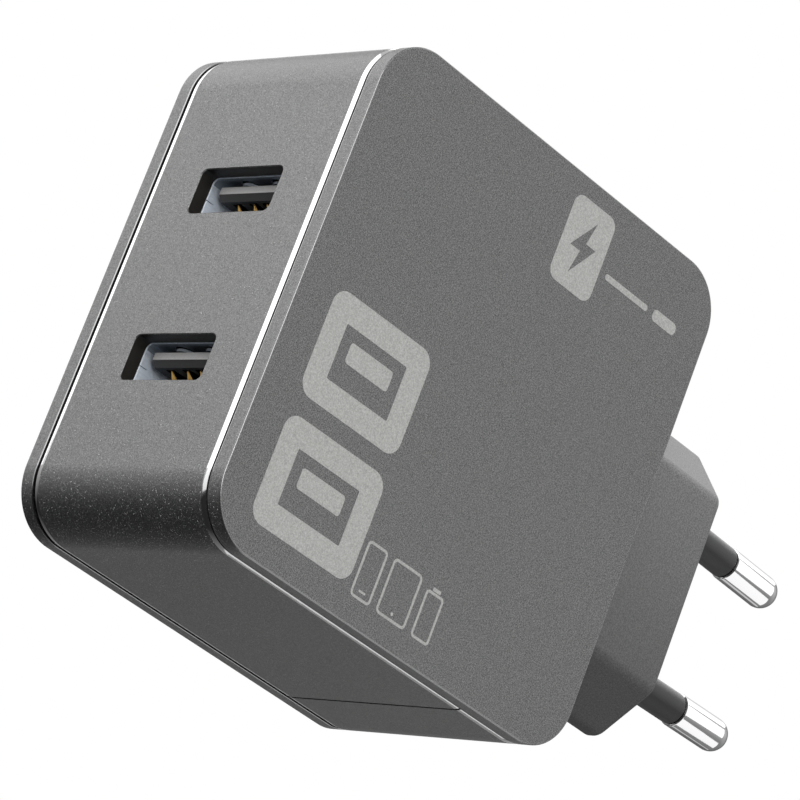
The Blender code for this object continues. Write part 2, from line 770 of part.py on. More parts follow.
def main_board(lead_places):
    bm = bmesh.new()
    low = (MAIN_BOARD_X, MAIN_BOARD_Y[0], -MAIN_BOARD_HALF_Z)
    high = (BOARD_TOP, MAIN_BOARD_Y[1], MAIN_BOARD_HALF_Z)
    add_box(bm, low, high)
    board = piece("main_board", bm, BOARD_GREEN)
    holes = bmesh.new()
    half = LEAD_HOLE / 2
    for y, z in lead_places:
        add_box(holes, (low[0] - 1, y - half, z - half), (high[0] + 1, y + half, z + half))
    cut(board, "lead_holes", holes)
    return board


HEADER_PITCH = 2.54
HEADER_PLACES = tuple(HEADER_PITCH * (i - 1.5) for i in range(4))
HEADER_X = SEAT + 1.25


def board_header():
    """Strip of bent pins that joins the USB board to the main board."""
    start = USB_BOARD_FRONT + BOARD + 0.15
    half = HEADER_PITCH * 2
    bm = bmesh.new()
    add_box(bm, (SEAT, start, -half), (SEAT + 2.5, start + 2.5, half))
    strip = piece("board_header", bm, BLACK_PLASTIC)
    pins = bmesh.new()
    thick = LEAD / 2
    bend = start + 1.25
    outline = [
        (HEADER_X + thick, USB_BOARD_FRONT - 0.6),
        (HEADER_X + thick, bend + thick),
        (LEAD_END, bend + thick),
        (LEAD_END, bend - thick),
        (HEADER_X - thick, bend - thick),
        (HEADER_X - thick, USB_BOARD_FRONT - 0.6),
    ]
    for z in HEADER_PLACES:
        add_prism(pins, "Z", outline, z - thick, z + thick)
    join(strip, "pins", pins)
    return [(bend, z) for z in HEADER_PLACES]


def usb_board():
    rear = USB_BOARD_FRONT + BOARD
    half_x, half_z = USB_BOARD_HALF
    bm = bmesh.new()
    add_box(bm, (-half_x, USB_BOARD_FRONT, -half_z), (half_x, rear, half_z))
    board = piece("usb_board", bm, BOARD_GREEN)
    holes = bmesh.new()
    front, back = USB_BOARD_FRONT - 1, rear + 1
    half = LEAD_HOLE / 2
    for port_z in (PORT_OFFSET, -PORT_OFFSET):
        z = port_z + CONTACT_ROOT[1]
        for x in CONTACT_PLACES:
            add_box(holes, (x - half, front, z - half), (x + half, back, z + half))
        for side in (1, -1):
            x = side * (SHELL_INNER[0] + SHELL_SHEET) / 2
            add_box(holes, (x - half, front, port_z - 1.5), (x + half, back, port_z + 1.5))
    for z in HEADER_PLACES:
        add_box(holes, (HEADER_X - half, front, z - half), (HEADER_X + half, back, z + half))
    cut(board, "holes", holes)
    return board


def port_controller():
    start = USB_BOARD_FRONT + BOARD + 0.15
    bm = bmesh.new()
    add_box(bm, (2.5, start, -2.0), (7.5, start + 1.4, 2.0))
    bmesh.ops.bevel(bm, geom=bm.edges[:], offset=0.2 * MM, segments=1, affect="EDGES")
    return piece("port_controller", bm, BLACK_PLASTIC)


def insulating_sheet():
    bm = bmesh.new()
    x = MAIN_BOARD_X - 1.0
    half = MAIN_BOARD_HALF_Z - 0.8
    add_box(bm, (x - 0.3, FRONT + 15.5, -half), (x, MAIN_BOARD_Y[1] - 1.2, half))
    return piece("insulating_sheet", bm, CLEAR_FILM)


def smooth_route(points, steps):
    """Points along a Catmull-Rom curve through the route's own points."""
    ends = [Vector(point) for point in points]
    ends = [2 * ends[0] - ends[1], *ends, 2 * ends[-1] - ends[-2]]
    route = []
    for i in range(1, len(ends) - 2):
        a, b, c, d = ends[i - 1 : i + 3]
        for k in range(steps):
            t = k / steps
            square = (2 * a - 5 * b + 4 * c - d) * t**2
            cube = (3 * b - a - 3 * c + d) * t**3
            route.append((2 * b + (c - a) * t + square + cube) / 2)
    route.append(ends[-2])
    return route


def mains_lead(name, look, side):
    """Insulated wire from a pin's tail to the main board."""
    start_z = side * (PIN_SPACING / 2 - PIN_TAIL * math.sin(PIN_TILT))
    points = [
        (0.0, PIN_TAIL - 0.4, start_z),
        (0.0, PIN_TAIL - 4.5, start_z),
        (-1.2, REAR - 0.3, side * 10.0),
        (-4.6, REAR - 3.6, side * 10.3),
        (SEAT + 0.1, REAR - 5.0, side * 10.3),
    ]
    route = smooth_route(points, 4)
    curve = bpy.data.curves.new(name, "CURVE")
    curve.dimensions = "3D"
    curve.bevel_depth = 0.8 * MM
    curve.bevel_resolution = 2
    curve.use_fill_caps = True
    spline = curve.splines.new("POLY")
    spline.points.add(len(route) - 1)
    for point, place in zip(spline.points, route):
        point.co = (*(place * MM), 1.0)
    obj = bpy.data.objects.new(name, curve)
    curve.materials.append(material(name, *look))
    bpy.context.scene.collection.objects.link(obj)
    return obj


# Block-shaped parts on the main board: name, look, lift off the board, height,
# (nearest, farthest) behind the front face, (low, high) in Z, bevel, and lead places as (back, z)
BLOCKS = (
    ("x_capacitor", YELLOW_CASE, 0.0, 11.0, (37.6, 42.6), (-6.5, 6.5), 0.3, ((40.1, -5.0), (40.1, 5.0))),
    ("fuse", BLACK_PLASTIC, 0.0, 7.6, (44.4, 48.4), (-11.2, -3.0), 0.3, ((46.4, -9.6), (46.4, -4.5))),
    (
        "bridge_rectifier",
        BLACK_PLASTIC,
        1.0,
        7.0,
        (35.6, 39.0),
        (12.0, 22.0),
        0.3,
        ((37.3, 12.9), (37.3, 15.6), (37.3, 18.3), (37.3, 21.0)),
    ),
    (
        "output_rectifier",
        BLACK_PLASTIC,
        0.5,
        2.4,
        (29.0, 34.6),
        (12.0, 20.0),
        0.3,
        ((31.8, 12.8), (31.8, 19.2)),
    ),
    (
        "optocoupler",
        BLACK_PLASTIC,
        0.3,
        3.5,
        (24.5, 29.0),
        (-14.6, -8.4),
        0.3,
        ((25.5, -13.9), (25.5, -9.1), (28.0, -13.9), (28.0, -9.1)),
    ),
    (
        "controller_chip",
        BLACK_PLASTIC,
        0.0,
        1.6,
        (38.0, 43.0),
        (-11.2, -7.4),
        0.2,
        ((39.0, -10.4), (39.0, -8.2), (42.0, -10.4), (42.0, -8.2)),
    ),
)

# Upright cans on the main board: name, look, centre as (back, z), radius, height
CANS = (
    ("bulk_capacitor_1", CAN_SLEEVE, (45.2, 17.0), 5.0, 17.0),
    ("bulk_capacitor_2", CAN_SLEEVE, (45.2, -17.0), 5.0, 17.0),
    ("output_capacitor_upper", ALUMINIUM, (22.7, 19.5), 4.0, 12.0),
    ("output_capacitor_lower", ALUMINIUM, (22.7, -19.5), 4.0, 12.0),
)


def board_components():
    """Everything that stands on the main board. Returns the places of the holes it needs."""
    places = transformer_bobbin()
    places += choke()
    places += y_capacitor()
    places += switching_transistor()
    places += board_header()
    for name, look, (back, z), radius, height in CANS:
        places += capacitor_can(name, look, (FRONT + back, z), radius, height)
    for name, look, lift, height, backs, levels, bevel, leads in BLOCKS:
        low = (SEAT + lift, FRONT + backs[0], levels[0])
        high = (SEAT + lift + height, FRONT + backs[1], levels[1])
        places += boxed(name, look, low, high, [(FRONT + back, z) for back, z in leads], bevel)
    return places


def build():
    clear_scene()
    front_band()
    rear_housing()
    side_cover("right_side_cover", 1)
    side_cover("left_side_cover", -1)
    for name, side in (("upper", 1), ("lower", -1)):
        mains_pin(f"pin_{name}", side)
        pin_sleeve(f"pin_sleeve_{name}", side)
        port_z = side * PORT_OFFSET
        usb_shell(f"usb_shell_{name}", port_z)
        usb_tongue(f"usb_tongue_{name}", port_z)
        for number, x in enumerate(CONTACT_PLACES, 1):
            usb_contact(f"usb_contact_{name}_{number}", port_z, x)
            usb_terminal(f"usb_terminal_{name}_{number}", port_z, x)
    usb_board()
    port_controller()
    transformer_core("transformer_core_rear", 1)
    transformer_core("transformer_core_front", -1)
    transformer_winding()
    heat_sink()
    insulating_sheet()
    mains_lead("live_lead", RED_SLEEVE, 1)
    mains_lead("neutral_lead", BLUE_SLEEVE, -1)
    main_board(board_components())


build()
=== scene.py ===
"""Looks of a two-port USB wall charger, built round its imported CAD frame.

Sizes are in millimetres, as in the CAD model, and meshes are scaled to metres as they are made.
The origin is the centre of the plug face, +Y runs into the wall, +Z is up and the ports face -Y.
"""

import json
import math

import bmesh
import bpy
from mathutils import Matrix, Quaternion, Vector


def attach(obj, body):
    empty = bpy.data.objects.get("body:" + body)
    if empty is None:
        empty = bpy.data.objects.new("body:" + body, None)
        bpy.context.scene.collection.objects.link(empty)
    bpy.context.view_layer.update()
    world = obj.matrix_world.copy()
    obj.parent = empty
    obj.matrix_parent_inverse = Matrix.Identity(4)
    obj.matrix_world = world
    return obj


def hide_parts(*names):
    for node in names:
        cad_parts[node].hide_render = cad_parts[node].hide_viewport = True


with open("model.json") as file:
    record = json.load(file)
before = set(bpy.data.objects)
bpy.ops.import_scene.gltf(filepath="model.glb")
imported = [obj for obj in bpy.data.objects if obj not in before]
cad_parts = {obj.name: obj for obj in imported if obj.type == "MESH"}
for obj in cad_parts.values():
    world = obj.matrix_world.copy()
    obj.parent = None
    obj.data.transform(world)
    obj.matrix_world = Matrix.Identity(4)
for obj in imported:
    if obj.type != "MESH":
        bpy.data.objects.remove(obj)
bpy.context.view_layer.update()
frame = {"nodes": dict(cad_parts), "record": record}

MM = 0.001
BODY = "charger"

# Housing, repeated from the CAD model
BODY_WIDTH = 31.0
BODY_HEIGHT = 57.5
BODY_DEPTH = 55.8
CORNER_RADIUS = 6.0
PLUG_LENGTH = 19.4
COVER_THICKNESS = 1.9
COVER_GAP = 0.35
BAND_DEPTH = 42.6
SEAM = 0.3
WALL = 1.8
CHAMFER_WIDTH = 0.6
CHAMFER_DEPTH = 0.12

HALF_HEIGHT = BODY_HEIGHT / 2
FACE = BODY_WIDTH / 2
FRONT = -PLUG_LENGTH - BODY_DEPTH
REAR = -PLUG_LENGTH
MIDDLE = (FRONT + REAR) / 2
COVER_INNER = FACE - COVER_THICKNESS
BAND_SIDE = COVER_INNER - COVER_GAP
SEAM_Y = FRONT + BAND_DEPTH

# Edges finer than in the CAD model; the covers' bevel is given as its height and its inset
FRONT_CORNER_RADIUS = 6.5
COVER_EDGE = 0.16
COVER_BEVEL = (0.12, 0.05)
PLUG_ROOT_FILLET = 0.5
PIN_SHOULDER_GAP = 0.12
PIN_SHOULDER_BEVEL = 0.15
SLEEVE_EDGE = 0.2

# Plug and pins, repeated from the CAD model
PLUG_THICKNESS = 13.7
PLUG_HEIGHT = 35.3
PLUG_FLAT_END = 1.05
PLUG_CORNER_RADIUS = 2.0
PLUG_EDGE = 0.6
PLUG_WALL = 1.8
PLUG_FACE_WALL = 2.2
PIN_SPACING = 19.0
PIN_TILT = math.radians(1.3)
PIN_RADIUS = 2.03
PIN_CORE_RADIUS = 1.35
PIN_LENGTH = 19.5
SLEEVE_LENGTH = 10.45
SLEEVE_RADIUS = 1.9
SLEEVE_BORE = 1.45
PIN_HOLE_RADIUS = 2.0

# USB-A receptacles; heights on a tongue are measured from the middle of its port
PORT_OFFSET = 9.785
APERTURE = (12.56, 5.24)
APERTURE_RADIUS = 0.8
APERTURE_EDGE = 0.1
SHELL_INNER = (12.5, 5.12)
SHELL_SHEET = 0.3
SHELL_RADIUS = 0.7
SHELL_FRONT = FRONT + WALL + 0.05
SHELL_REAR = FRONT + 14.3
TAB_OFFSET = 2.3
TAB_START = SHELL_FRONT + 0.75
TAB_RADIUS = 1.05
TAB_LENGTH = 4.6
TAB_SLOT = 0.25
TAB_DIP = 0.4
SLIT_LENGTH = 1.1
SLIT_WIDTH = 0.1
TONGUE_WIDTH = 11.1
TONGUE_LOW = 0.38
TONGUE_HIGH = 1.85
TONGUE_FRONT = FRONT + 2.5
TONGUE_NOSE = 0.62
TONGUE_SIDE_BEVEL = 0.12
# How far the rounded upper edge of the nose reaches, and how far its middle is cut back
TONGUE_ROUNDING = (0.07, 0.02)
# From here back the tongue and block are painted near black: painted shade deep in the port.
TONGUE_PAINTED_SHADE_FROM = TONGUE_FRONT + 1.0
BLOCK_FRONT = FRONT + 10.3
BLOCK_REAR = FRONT + 14.75
BLOCK_GAP = 0.05
CONTACT_PLACES = (-3.5, -1.0, 1.0, 3.5)
CONTACT_WIDTH = 1.0
CONTACT_TIP_WIDTH = 0.24
CONTACT_SHEET = 0.2
CONTACT_BEVEL = 0.06
GROOVE_WIDTH = 1.3
GROOVE_TOP = 1.3
GROOVE_START = TONGUE_FRONT + 1.1
GROOVE_END = BLOCK_FRONT + 0.3

# Meshes: steps along arcs of several sizes and a circle, and the angle that makes an edge sharp
ARC_STEPS = 24
TAB_STEPS = 16
PORT_STEPS = 8
ROUND_STEPS = 72
SHARP = math.radians(30)
# How far a cutter stands out of a thin sheet and of a thick wall, and a distance too small to matter
SPARE = 0.2
WIDE_SPARE = 1.0
HAIR = 0.02


# ---------------------------------------------------------------- shapes


def arc(centre, radius, start, end, steps=ARC_STEPS):
    """Points on an arc from the angle start to the angle end, in degrees."""
    points = []
    for i in range(steps + 1):
        angle = math.radians(start + (end - start) * i / steps)
        points.append((centre[0] + radius * math.cos(angle), centre[1] + radius * math.sin(angle)))
    return points


def rounded_rectangle(half_a, half_b, radius, centre=(0.0, 0.0), steps=ARC_STEPS):
    points = []
    for quarter, (a, b) in enumerate(((1, 1), (-1, 1), (-1, -1), (1, -1))):
        middle = (centre[0] + a * (half_a - radius), centre[1] + b * (half_b - radius))
        points += arc(middle, radius, 90 * quarter, 90 * quarter + 90, steps)
    return points


def circle(radius, centre=(0.0, 0.0), steps=ROUND_STEPS):
    return arc(centre, radius, 0, 360 - 360 / steps, steps - 1)


def rounded_polygon(corners, radius, steps=10):
    """Each corner becomes an arc that touches both of its sides; short sides get a smaller arc."""
    points = []
    for i, corner in enumerate(corners):
        here = Vector(corner)
        back = Vector(corners[i - 1]) - here
        ahead = Vector(corners[(i + 1) % len(corners)]) - here
        half_angle = back.angle(ahead) / 2
        # An arc takes up at most a little under half of the shorter side.
        reach = min(radius / math.tan(half_angle), 0.48 * min(back.length, ahead.length))
        inward = (back.normalized() + ahead.normalized()).normalized()
        middle = here + inward * (reach / math.cos(half_angle))
        start = here + back.normalized() * reach - middle
        end = here + ahead.normalized() * reach - middle
        turn = start.angle_signed(end)
        for k in range(steps + 1):
            points.append(tuple(middle + Matrix.Rotation(-turn * k / steps, 2) @ start))
    return points


def plug_outline(inset):
    """Flattened hexagon with rounded corners, in X and Z."""
    half_x = PLUG_THICKNESS / 2 - inset
    half_z = PLUG_HEIGHT / 2 - inset
    radius = max(PLUG_CORNER_RADIUS - inset, PLUG_CORNER_RADIUS / 2)
    # The slants run at 45 degrees, so an inset moves their ends along the flats by this much.
    shift = inset * math.tan(math.radians(22.5))
    end = PLUG_FLAT_END - shift
    flat = PLUG_HEIGHT / 2 - (PLUG_THICKNESS / 2 - PLUG_FLAT_END) - shift
    corners = [(half_x, flat), (end, half_z), (-end, half_z), (-half_x, flat)]
    corners += [(-x, -z) for x, z in corners]
    return rounded_polygon(corners, radius)


def body_outline(inset):
    """Outline of a cover in Y and Z; its front corners are a little rounder than the rear ones."""
    points = []
    for quarter, (a, b) in enumerate(((1, 1), (-1, 1), (-1, -1), (1, -1))):
        radius = (CORNER_RADIUS if a > 0 else FRONT_CORNER_RADIUS) - inset
        middle = (MIDDLE + a * (BODY_DEPTH / 2 - inset - radius), b * (HALF_HEIGHT - inset - radius))
        points += arc(middle, radius, 90 * quarter, 90 * quarter + 90)
    return points


def along(axis, outline, level):
    """The outline's points in space, at this level along the axis."""
    if axis == "X":
        return [(level, a, b) for a, b in outline]
    if axis == "Y":
        return [(a, level, b) for a, b in outline]
    return [(a, b, level) for a, b in outline]


def add_loft(bm, rings, closed=False, looks=None):
    """Joins rings of equally many points with faces. An open loft gets a cap at each end.

    looks gives the material index of the faces between each ring and the next.
    """
    rows = [[bm.verts.new([value * MM for value in point]) for point in ring] for ring in rings]
    pairs = list(zip(rows, rows[1:]))
    if closed:
        pairs.append((rows[-1], rows[0]))
    for number, (row, following) in enumerate(pairs):
        for i in range(len(row)):
            j = (i + 1) % len(row)
            face = bm.faces.new((row[i], row[j], following[j], following[i]))
            face.material_index = looks[number] if looks else 0
    if not closed:
        first = bm.faces.new(rows[0])
        last = bm.faces.new(rows[-1])
        if looks:
            first.material_index = looks[0]
            last.material_index = looks[-1]


def add_prism(bm, axis, outline, low, high):
    add_loft(bm, [along(axis, outline, low), along(axis, outline, high)])


def add_box(bm, low, high):
    size = [(b - a) * MM for a, b in zip(low, high)]
    middle = [(a + b) / 2 * MM for a, b in zip(low, high)]
    bmesh.ops.create_cube(bm, matrix=Matrix.LocRotScale(middle, None, size))


def add_turned(bm, profile, closed=False, looks=None):
    """A profile of (y, radius) points turned about the Y axis."""
    add_loft(bm, [along("Y", circle(radius), y) for y, radius in profile], closed, looks)


def rounded_steps(edge, count=6):
    """(distance from the end, inset) steps of a quarter-round edge, starting on the side."""
    return [(edge - y, edge - x) for x, y in arc((0.0, 0.0), edge, 0, 90, count)]


def mesh_object(name, bm):
    bmesh.ops.recalc_face_normals(bm, faces=bm.faces)
    mesh = bpy.data.meshes.new(name)
    bm.to_mesh(mesh)
    bm.free()
    obj = bpy.data.objects.new(name, mesh)
    bpy.context.scene.collection.objects.link(obj)
    return obj


def bake(obj):
    """Applies the object's modifiers to its mesh."""
    graph = bpy.context.evaluated_depsgraph_get()
    mesh = bpy.data.meshes.new_from_object(obj.evaluated_get(graph))
    obj.modifiers.clear()
    obj.data = mesh


def combine(obj, operation, bm):
    """Changes the object's mesh by a boolean operation with the bmesh."""
    helper = mesh_object(f"{obj.name}_helper", bm)
    modifier = obj.modifiers.new("combine", "BOOLEAN")
    modifier.operation = operation
    modifier.solver = "EXACT"
    modifier.object = helper
    bake(obj)
    bpy.data.objects.remove(helper)


def carve(obj, *cutters):
    for bm in cutters:
        combine(obj, "DIFFERENCE", bm)


def finish_piece(obj, slot, *looks, body=BODY, replaces=()):
    """Smooths the mesh, gives it its materials and ties it to the frame."""
    mesh = obj.data
    for surface in looks:
        mesh.materials.append(surface)
    mesh.shade_smooth()
    mesh.set_sharp_from_angle(angle=SHARP)
    normals = obj.modifiers.new("normals", "WEIGHTED_NORMAL")
    normals.keep_sharp = True
    # The highest weight keeps large faces flat.
    normals.weight = 100
    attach(obj, body)
    if replaces:
        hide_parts(*replaces)


# ---------------------------------------------------------------- materials


def grey(level):
    return (level, level, level)


def look(name, colour, roughness, metallic=0.0, **sockets):
    """A Principled material. Other shader sockets are given by name, with _ for a space."""
    made = bpy.data.materials.new(name)
    made.use_nodes = True
    shader = made.node_tree.nodes["Principled BSDF"]
    shader.inputs["Base Color"].default_value = (*colour, 1.0)
    shader.inputs["Roughness"].default_value = roughness
    shader.inputs["Metallic"].default_value = metallic
    for socket, value in sockets.items():
        shader.inputs[socket.replace("_", " ")].default_value = value
    return made


def node(tree, kind, **inputs):
    made = tree.nodes.new(kind)
    for name, value in inputs.items():
        made.inputs[name.replace("_", " ")].default_value = value
    return made


def feed(tree, source, socket):
    """Links the source to the socket, or sets the socket to a plain value."""
    if isinstance(source, tuple):
        socket.default_value = source
    else:
        tree.links.new(source, socket)


def noise_at(tree, size, detail=2.0, stretch=(1.0, 1.0, 1.0)):
    """Noise whose features are about size millimetres across, finer along an axis with a large stretch."""
    place = tree.nodes.new("ShaderNodeTexCoord")
    mapping = tree.nodes.new("ShaderNodeMapping")
    mapping.inputs["Scale"].default_value = [1 / (size * MM * value) for value in stretch]
    noise = node(tree, "ShaderNodeTexNoise", Scale=1.0, Detail=detail)
    tree.links.new(place.outputs["Object"], mapping.inputs["Vector"])
    tree.links.new(mapping.outputs["Vector"], noise.inputs["Vector"])
    return noise.outputs["Fac"]


def ranged(tree, source, low, high, from_low=0.25, from_high=0.75):
    """Maps a value onto the range from low to high; noise lies mostly between 0.25 and 0.75."""
    made = tree.nodes.new("ShaderNodeMapRange")
    made.inputs["From Min"].default_value = from_low
    made.inputs["From Max"].default_value = from_high
    made.inputs["To Min"].default_value = low
    made.inputs["To Max"].default_value = high
    tree.links.new(source, made.inputs["Value"])
    return made.outputs["Result"]


def shaded(tree, colour, amount):
    """The colour made lighter or darker by a value round 1."""
    made = tree.nodes.new("ShaderNodeVectorMath")
    made.operation = "SCALE"
    feed(tree, colour, made.inputs[0])
    tree.links.new(amount, made.inputs["Scale"])
    return made.outputs["Vector"]


def vary(made, size, colour=0.1, roughness=0.05, bump=0.0, detail=2.0, stretch=(1.0, 1.0, 1.0)):
    """Grain of the given size in the colour, the roughness and the surface height."""
    tree = made.node_tree
    shader = tree.nodes["Principled BSDF"]
    grain = noise_at(tree, size, detail, stretch)
    base = tuple(shader.inputs["Base Color"].default_value[:3])
    tint = shaded(tree, base, ranged(tree, grain, 1 - colour, 1 + colour))
    tree.links.new(tint, shader.inputs["Base Color"])
    middle = shader.inputs["Roughness"].default_value
    rough = ranged(tree, grain, middle - roughness, middle + roughness)
    tree.links.new(rough, shader.inputs["Roughness"])
    if bump:
        add_bump(tree, grain, bump)
    return made


def add_bump(tree, height, depth, normal=None):
    """Raises the surface by up to depth millimetres where the height is 1."""
    shader = tree.nodes["Principled BSDF"]
    made = node(tree, "ShaderNodeBump", Strength=1.0, Distance=depth * MM)
    tree.links.new(height, made.inputs["Height"])
    if normal:
        tree.links.new(normal, made.inputs["Normal"])
    tree.links.new(made.outputs["Normal"], shader.inputs["Normal"])


def vector_math(tree, operation, *sources):
    """A vector sum, product or other operation on sockets or plain values."""
    made = tree.nodes.new("ShaderNodeVectorMath")
    made.operation = operation
    for source, socket in zip(sources, made.inputs):
        feed(tree, source, socket)
    return made.outputs["Vector"]


def tilted_normal(tree, direction, share, tilt):
    """The surface normal, leaning by up to tilt in the cell's own direction where share is 1."""
    surface = tree.nodes.new("ShaderNodeNewGeometry").outputs["Normal"]
    lean = vector_math(tree, "SUBTRACT", direction, grey(0.5))
    lean = vector_math(tree, "MULTIPLY", lean, grey(2 * tilt))
    lean = vector_math(tree, "MULTIPLY", lean, share)
    return vector_math(tree, "NORMALIZE", vector_math(tree, "ADD", surface, lean))


def painted_shade_by_height(made, reach, low, high):
    """Painted shade and light: scales the colour from low to high between the heights -reach and +reach,
    in millimetres.
    """
    tree = made.node_tree
    shader = tree.nodes["Principled BSDF"]
    place = tree.nodes.new("ShaderNodeTexCoord")
    parts = tree.nodes.new("ShaderNodeSeparateXYZ")
    tree.links.new(place.outputs["Object"], parts.inputs["Vector"])
    plain = shader.inputs["Base Color"].links[0].from_socket
    tint = shaded(tree, plain, ranged(tree, parts.outputs["Z"], low, high, -reach * MM, reach * MM))
    tree.links.new(tint, shader.inputs["Base Color"])
    return made


FULLY_LIT_FLAKES = 0.6


def flaked(made, cell, share, brightness, tilt, size, colour, roughness, bump):
    """Metal flake paint: a fine grain, with a small share of leaning cells that catch the light.

    cell is a flake's size, and share, brightness and tilt belong to the flakes. The rest is as in vary.
    """
    tree = made.node_tree
    shader = tree.nodes["Principled BSDF"]
    base = tuple(shader.inputs["Base Color"].default_value[:3])
    middle = shader.inputs["Roughness"].default_value
    place = tree.nodes.new("ShaderNodeTexCoord")
    cells = node(tree, "ShaderNodeTexVoronoi", Scale=1 / (cell * MM))
    tree.links.new(place.outputs["Object"], cells.inputs["Vector"])
    chance = tree.nodes.new("ShaderNodeSeparateColor")
    tree.links.new(cells.outputs["Color"], chance.inputs["Color"])
    lit = ranged(tree, chance.outputs["Red"], 0.0, 1.0, 1 - share, 1 - share * FULLY_LIT_FLAKES)
    grain = noise_at(tree, size)
    plain = shaded(tree, base, ranged(tree, grain, 1 - colour, 1 + colour))
    mix = tree.nodes.new("ShaderNodeMix")
    mix.data_type = "RGBA"
    # A colour Mix node has its colours on the sockets numbered 6 and 7, and its result on 2.
    tree.links.new(lit, mix.inputs["Factor"])
    tree.links.new(plain, mix.inputs[6])
    mix.inputs[7].default_value = (*grey(brightness), 1.0)
    tree.links.new(mix.outputs[2], shader.inputs["Base Color"])
    rough = ranged(tree, grain, middle - roughness, middle + roughness)
    tree.links.new(rough, shader.inputs["Roughness"])
    add_bump(tree, grain, bump, tilted_normal(tree, cells.outputs["Color"], lit, tilt))
    return made


PAINT = flaked(
    look("metallic_paint", grey(0.25), 0.42, 0.8),
    cell=0.06, share=0.08, brightness=0.5, tilt=0.75, size=0.12, colour=0.5, roughness=0.05, bump=0.008,
)
CUT_EDGE = vary(
    look("diamond_cut_edge", grey(0.92), 0.1, 1.0),
    size=0.15, colour=0.04, roughness=0.04, bump=0.002, stretch=(1, 6, 6),
)
SEAM_EDGE = vary(
    look("seam_edge", grey(0.52), 0.2, 1.0), size=0.15, colour=0.05, roughness=0.05, bump=0.002
)
RIM_EDGE = vary(
    look("rim_edge", grey(0.3), 0.28, 0.85), size=0.15, colour=0.05, roughness=0.05, bump=0.002
)
COVER_FACE = vary(
    look("grained_cover", grey(0.165), 0.55, 0.1),
    size=0.12, colour=0.8, roughness=0.1, bump=0.018, detail=1,
)
PLUG_GRAIN = vary(
    look("moulded_plug_painted_shade", grey(0.15), 0.5), size=0.16, colour=0.54, roughness=0.06, bump=0.01
)
# The boss's colour is scaled darker low down and lighter high up: painted shade below, painted light
# above.
PLUG_PAINTED_SHADE = painted_shade_by_height(PLUG_GRAIN, reach=12.0, low=0.7, high=1.25)
INK = vary(
    look("printed_ink", (0.47, 0.47, 0.455), 0.55), size=0.15, colour=0.3, roughness=0.08, bump=0.01
)
MOUTH = vary(
    look("aperture_wall", (0.016, 0.014, 0.011), 0.5), size=0.3, colour=0.15, roughness=0.05, bump=0.005
)
# Near-black copy of the tongue plastic for its underside and the deep port: painted shade.
TONGUE_UNDERSIDE_PAINTED_SHADE = vary(
    look("tongue_underside_painted_shade", grey(0.005), 0.6), size=0.3, colour=0.15, roughness=0.05, bump=0.005
)
SLEEVE = vary(
    look("pin_sleeve", (0.035, 0.035, 0.036), 0.38), size=0.25, colour=0.1, roughness=0.06, bump=0.006
)
CHROME = vary(
    look("polished_nickel", (0.95, 0.95, 0.96), 0.05, 1.0, Specular_Tint=(*grey(0.3), 1.0)),
    size=0.1, colour=0.02, roughness=0.03, bump=0.0004, stretch=(1, 20, 1),
)
STEEL = vary(
    look("plated_steel", (0.80, 0.87, 0.96), 0.4, 0.1),
    size=0.35, colour=0.12, roughness=0.06, bump=0.004, stretch=(1, 3, 1),
)
# Darker copy of the plated steel for the port's inner roof: painted shade.
STEEL_ROOF_PAINTED_SHADE = vary(
    look("steel_roof_painted_shade", (0.30, 0.35, 0.41), 0.4, 0.1), size=0.35, colour=0.12, roughness=0.06, bump=0.004
)
TONGUE = vary(
    look("tongue_plastic", (0.8, 0.79, 0.78), 0.42), size=0.25, colour=0.06, roughness=0.05, bump=0.003
)
# Dark copy of the tongue plastic for its slanted nose: painted shade.
TONGUE_NOSE_PAINTED_SHADE = vary(
    look("tongue_nose_painted_shade", (0.1, 0.098, 0.095), 0.5), size=0.25, colour=0.06, roughness=0.05, bump=0.003
)
GOLD = vary(
    look("gold_plate", (0.90, 0.52, 0.15), 0.2, 1.0),
    size=0.2, colour=0.1, roughness=0.06, bump=0.002, stretch=(1, 4, 1),
)

# Grain size, colour change and bump depth for each kind of surface inside the housing
INSIDE_GRAIN = {
    "matte_plastic": (0.35, 0.1, 0.006),
    "brass": (0.2, 0.08, 0.003),
    "aluminium": (0.5, 0.06, 0.003),
    "ceramic": (0.3, 0.2, 0.01),
    "brushed_steel": (0.3, 0.08, 0.003),
}
INSIDE_METALS = {"brass", "aluminium", "brushed_steel"}
INSIDE_ROUGHNESS = 0.4


def dress_inside(record):
    """Gives each node that stays in view a grained material made from its slot's colour."""
    made = {}
    for row in record["materials"]:
        size, colour, bump = INSIDE_GRAIN[row["class"]]
        metallic = 1.0 if row["class"] in INSIDE_METALS else 0.0
        surface = look(f"inside_{row['slot']}", row["base_color"], INSIDE_ROUGHNESS, metallic)
        made[row["slot"]] = vary(surface, size, colour, bump=bump, roughness=0.06)
    for row in record["subparts"]:
        obj = frame["nodes"][row["node"]]
        obj.data.materials.clear()
        obj.data.materials.append(made[row["material_slot"]])


# ---------------------------------------------------------------- housing


def channel_path(open_y, closed_y, inset, radius):
    """One line of a U: along the top, round the closed end and back along the bottom, in Y and Z."""
    toward = 1 if closed_y > open_y else -1
    high = HALF_HEIGHT - inset
    end = closed_y - toward * inset
    bend_y = end - toward * radius
    upper = arc((bend_y, high - radius), radius, 90, 90 - 90 * toward)
    lower = [(y, -z) for y, z in reversed(upper)]
    return [(open_y, high), *upper, *lower, (open_y, -high)]


